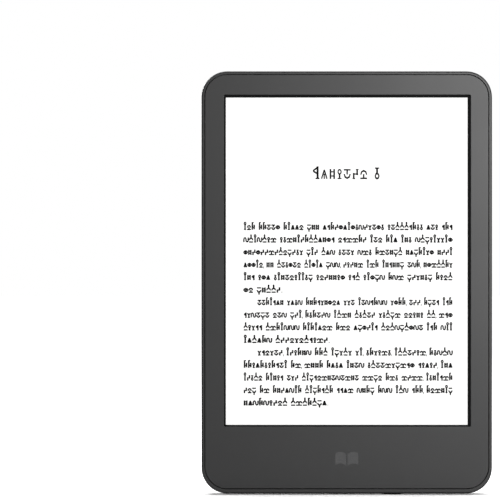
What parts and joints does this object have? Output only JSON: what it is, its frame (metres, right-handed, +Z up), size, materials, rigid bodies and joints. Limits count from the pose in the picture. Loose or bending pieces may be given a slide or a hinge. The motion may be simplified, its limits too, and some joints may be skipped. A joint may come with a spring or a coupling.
{
  "type": "e-reader",
  "caption": "Slim e-reader with a recessed paper-like screen, a soft-edged rear cover, a charging port and a push button on its lower edge.",
  "frame": {"origin": "middle of the lower edge's width and thickness, at the level of the power button's outer face, which stands 0.4 mm below the casing", "axes": "+X to the right as the screen is read, -Y out of the screen (the back faces +Y), +Z up the page"},
  "size_m": [0.1086, 0.008, 0.1582],
  "materials": {
    "cover_black": "fine-grained soft matte",
    "bezel_black": "fine-grained matte",
    "emblem_gloss": "polished black inlay",
    "mark_grey": "satin grey inlay",
    "button_black": "satin",
    "frame_grey": "glass-filled plastic",
    "tape_black": "foam tape",
    "foam_black": "closed-cell foam",
    "mask_black": "printed black",
    "page_white": "paper-like matte",
    "ink_black": "matte ink",
    "matte_film": "anti-glare film",
    "clear_acrylic": "clear plastic",
    "panel_glass": "thin-film transistor glass",
    "flex_amber": "polyimide film",
    "led_white": "moulded lamp",
    "chip_black": "moulded epoxy",
    "cell_foil": "pouch foil",
    "board_green": "solder mask",
    "lead_red": "insulated wire",
    "lead_black": "coaxial lead",
    "connector_cream": "moulded nylon",
    "shield_steel": "tinned steel",
    "spring_steel": "spring steel",
    "ferrite_grey": "ferrite",
    "ceramic_tan": "ceramic",
    "contact_gold": "gold plate",
    "tongue_black": "moulded",
    "screw_steel": "blackened"
  },
  "bodies": {
    "reader": {"rear_cover": "cover_black", "rear_emblem": "emblem_gloss", "front_bezel": "bezel_black", "front_mark": "mark_grey", "mid_frame": "frame_grey", "bezel_adhesive": "tape_black", "backplane_glass": "panel_glass", "epaper_film": "page_white", "light_guide": "clear_acrylic", "touch_film": "clear_acrylic", "front_film": "matte_film", "screen_mask": "mask_black", "screen_gasket": "foam_black", "front_light_strip": "flex_amber", "front_light_leds": "led_white", "display_driver": "chip_black", "display_flex": "flex_amber", "touch_flex": "flex_amber", "battery_cell": "cell_foil", "battery_adhesive": "tape_black", "battery_board": "board_green", "battery_leads": "lead_red", "battery_plug": "connector_cream", "battery_socket": "connector_cream", "main_board": "board_green", "processor_shield": "shield_steel", "processor": "chip_black", "memory_chip": "chip_black", "storage_chip": "chip_black", "power_chip": "chip_black", "radio_shield": "shield_steel", "radio_chip": "chip_black", "power_inductors": "ferrite_grey", "board_passives": "ceramic_tan", "display_connector": "connector_cream", "touch_connector": "connector_cream", "light_connector": "connector_cream", "hall_sensor": "chip_black", "antenna_flex": "flex_amber", "antenna_lead": "lead_black", "antenna_plug": "contact_gold", "usb_shell": "shield_steel", "usb_tongue": "tongue_black", "usb_contacts": "contact_gold", "switch_body": "shield_steel", "switch_dome": "spring_steel", "charge_led": "led_white", "light_pipe": "clear_acrylic", "frame_screws": "screw_steel", "board_screws": "screw_steel"},
    "power_button": {"power_button": "button_black", "switch_plunger": "tongue_black"}
  },
  "joints": [
    {"name": "power_button_press", "type": "slide", "parent": "reader", "child": "power_button", "axis": [0, 0, 1], "range_m": [0, 0.00025], "stiffness_N_per_m": 6000, "springref_m": -0.00005, "deforming": ["switch_dome"]}
  ]
}
